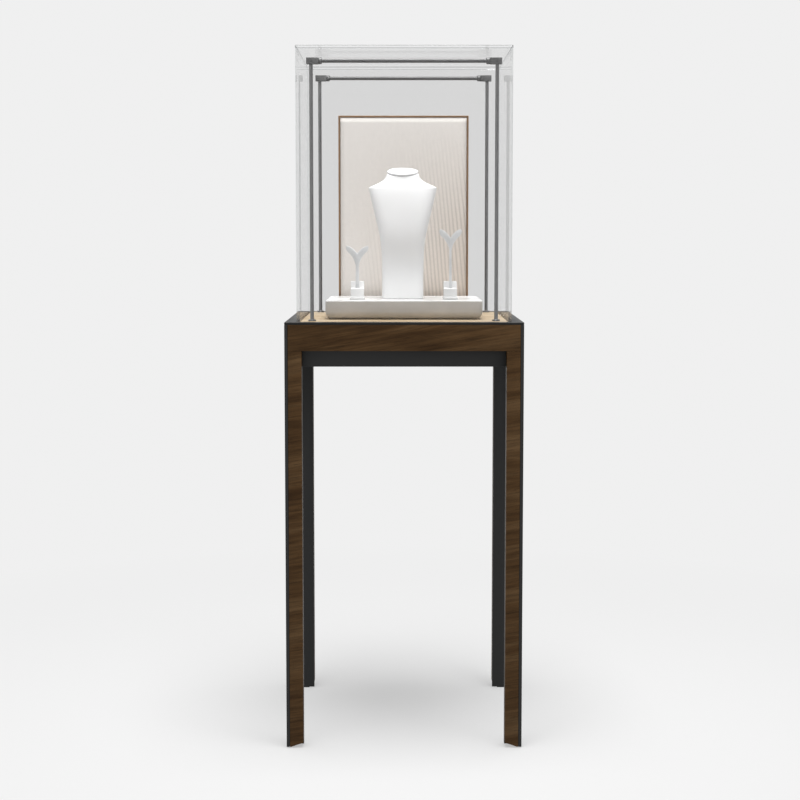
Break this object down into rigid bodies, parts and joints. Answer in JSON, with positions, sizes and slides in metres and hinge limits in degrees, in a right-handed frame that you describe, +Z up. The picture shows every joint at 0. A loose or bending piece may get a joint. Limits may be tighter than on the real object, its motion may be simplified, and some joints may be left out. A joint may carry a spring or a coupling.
{
  "type": "glass hooded display plinth",
  "caption": "Square display plinth: walnut and black steel table with slim legs, lift-off glass hood, swivelling light bars on posts, white riser, jewellery bust, earring stands and back panel",
  "frame": {"origin": "centre of the plan at floor level, under the glides", "axes": "+Z up, +X to the customer's right, the front faces -Y"},
  "size_m": [0.45, 0.45, 1.3316],
  "materials": {
    "black_steel": "matt black powder coat",
    "walnut": "dark walnut, satin oil",
    "glide_nylon": "black nylon",
    "oak": "light oak veneer, matt",
    "black_board": "black stained board",
    "gasket_rubber": "black strip",
    "black_plastic": "moulded, fine texture",
    "clear_glass": "clear float glass, polished edges",
    "brushed_steel": "satin brushed",
    "opal_diffuser": "opal",
    "white_lacquer": "satin white",
    "leatherette": "fine grained white leatherette",
    "frosted_acrylic": "frosted translucent",
    "panel_fabric": "streaked slub weave",
    "bronze": "bronze lacquered"
  },
  "bodies": {
    "plinth": {"leg_post_front_left": "black_steel", "leg_post_front_right": "black_steel", "leg_post_back_left": "black_steel", "leg_post_back_right": "black_steel", "apron_left": "black_steel", "apron_right": "black_steel", "rail_front": "black_steel", "rail_back": "black_steel", "rail_left": "black_steel", "rail_right": "black_steel", "top_frame_front": "black_steel", "top_frame_back": "black_steel", "top_frame_left": "black_steel", "top_frame_right": "black_steel", "service_cover": "black_steel", "leg_facing_front_left": "walnut", "leg_facing_front_right": "walnut", "leg_facing_back_left": "walnut", "leg_facing_back_right": "walnut", "apron_front": "walnut", "apron_back": "walnut", "glide_front_left": "glide_nylon", "glide_front_right": "glide_nylon", "glide_back_left": "glide_nylon", "glide_back_right": "glide_nylon", "deck": "oak", "sub_deck": "black_board", "hood_gasket": "gasket_rubber", "light_driver": "black_plastic", "cable_gland": "black_plastic", "light_post_front_left": "brushed_steel", "light_post_front_right": "brushed_steel", "light_post_back_left": "brushed_steel", "light_post_back_right": "brushed_steel", "end_block_front_left": "brushed_steel", "end_block_front_right": "brushed_steel", "end_block_back_left": "brushed_steel", "end_block_back_right": "brushed_steel", "tray": "white_lacquer", "panel_board": "panel_fabric", "panel_frame": "bronze", "panel_foot": "bronze"},
    "hood": {"glass_front": "clear_glass", "glass_back": "clear_glass", "glass_left": "clear_glass", "glass_right": "clear_glass", "glass_top": "clear_glass"},
    "front_light": {"light_bar_front": "brushed_steel", "diffuser_front": "opal_diffuser"},
    "back_light": {"light_bar_back": "brushed_steel", "diffuser_back": "opal_diffuser"},
    "bust": {"bust_body": "leatherette", "bust_neck_cap": "leatherette"},
    "left_stand": {"stand_foot_left": "white_lacquer", "stand_fork_left": "frosted_acrylic"},
    "right_stand": {"stand_foot_right": "white_lacquer", "stand_fork_right": "frosted_acrylic"}
  },
  "joints": [
    {"name": "hood_lift", "type": "slide", "parent": "plinth", "child": "hood", "axis": [0, 0, 1], "range_m": [0, 0.52]},
    {"name": "front_light_swivel", "type": "hinge", "parent": "plinth", "child": "front_light", "pos_m": [0, -0.175, 1.305], "axis": [1, 0, 0], "range_deg": [-60, 60]},
    {"name": "back_light_swivel", "type": "hinge", "parent": "plinth", "child": "back_light", "pos_m": [0, 0.175, 1.305], "axis": [1, 0, 0], "range_deg": [-60, 60]},
    {"name": "bust_lift", "type": "slide", "parent": "plinth", "child": "bust", "axis": [0, 0, 1], "range_m": [0, 0.12]},
    {"name": "left_stand_lift", "type": "slide", "parent": "plinth", "child": "left_stand", "axis": [0, 0, 1], "range_m": [0, 0.12]},
    {"name": "right_stand_lift", "type": "slide", "parent": "plinth", "child": "right_stand", "axis": [0, 0, 1], "range_m": [0, 0.12]}
  ]
}
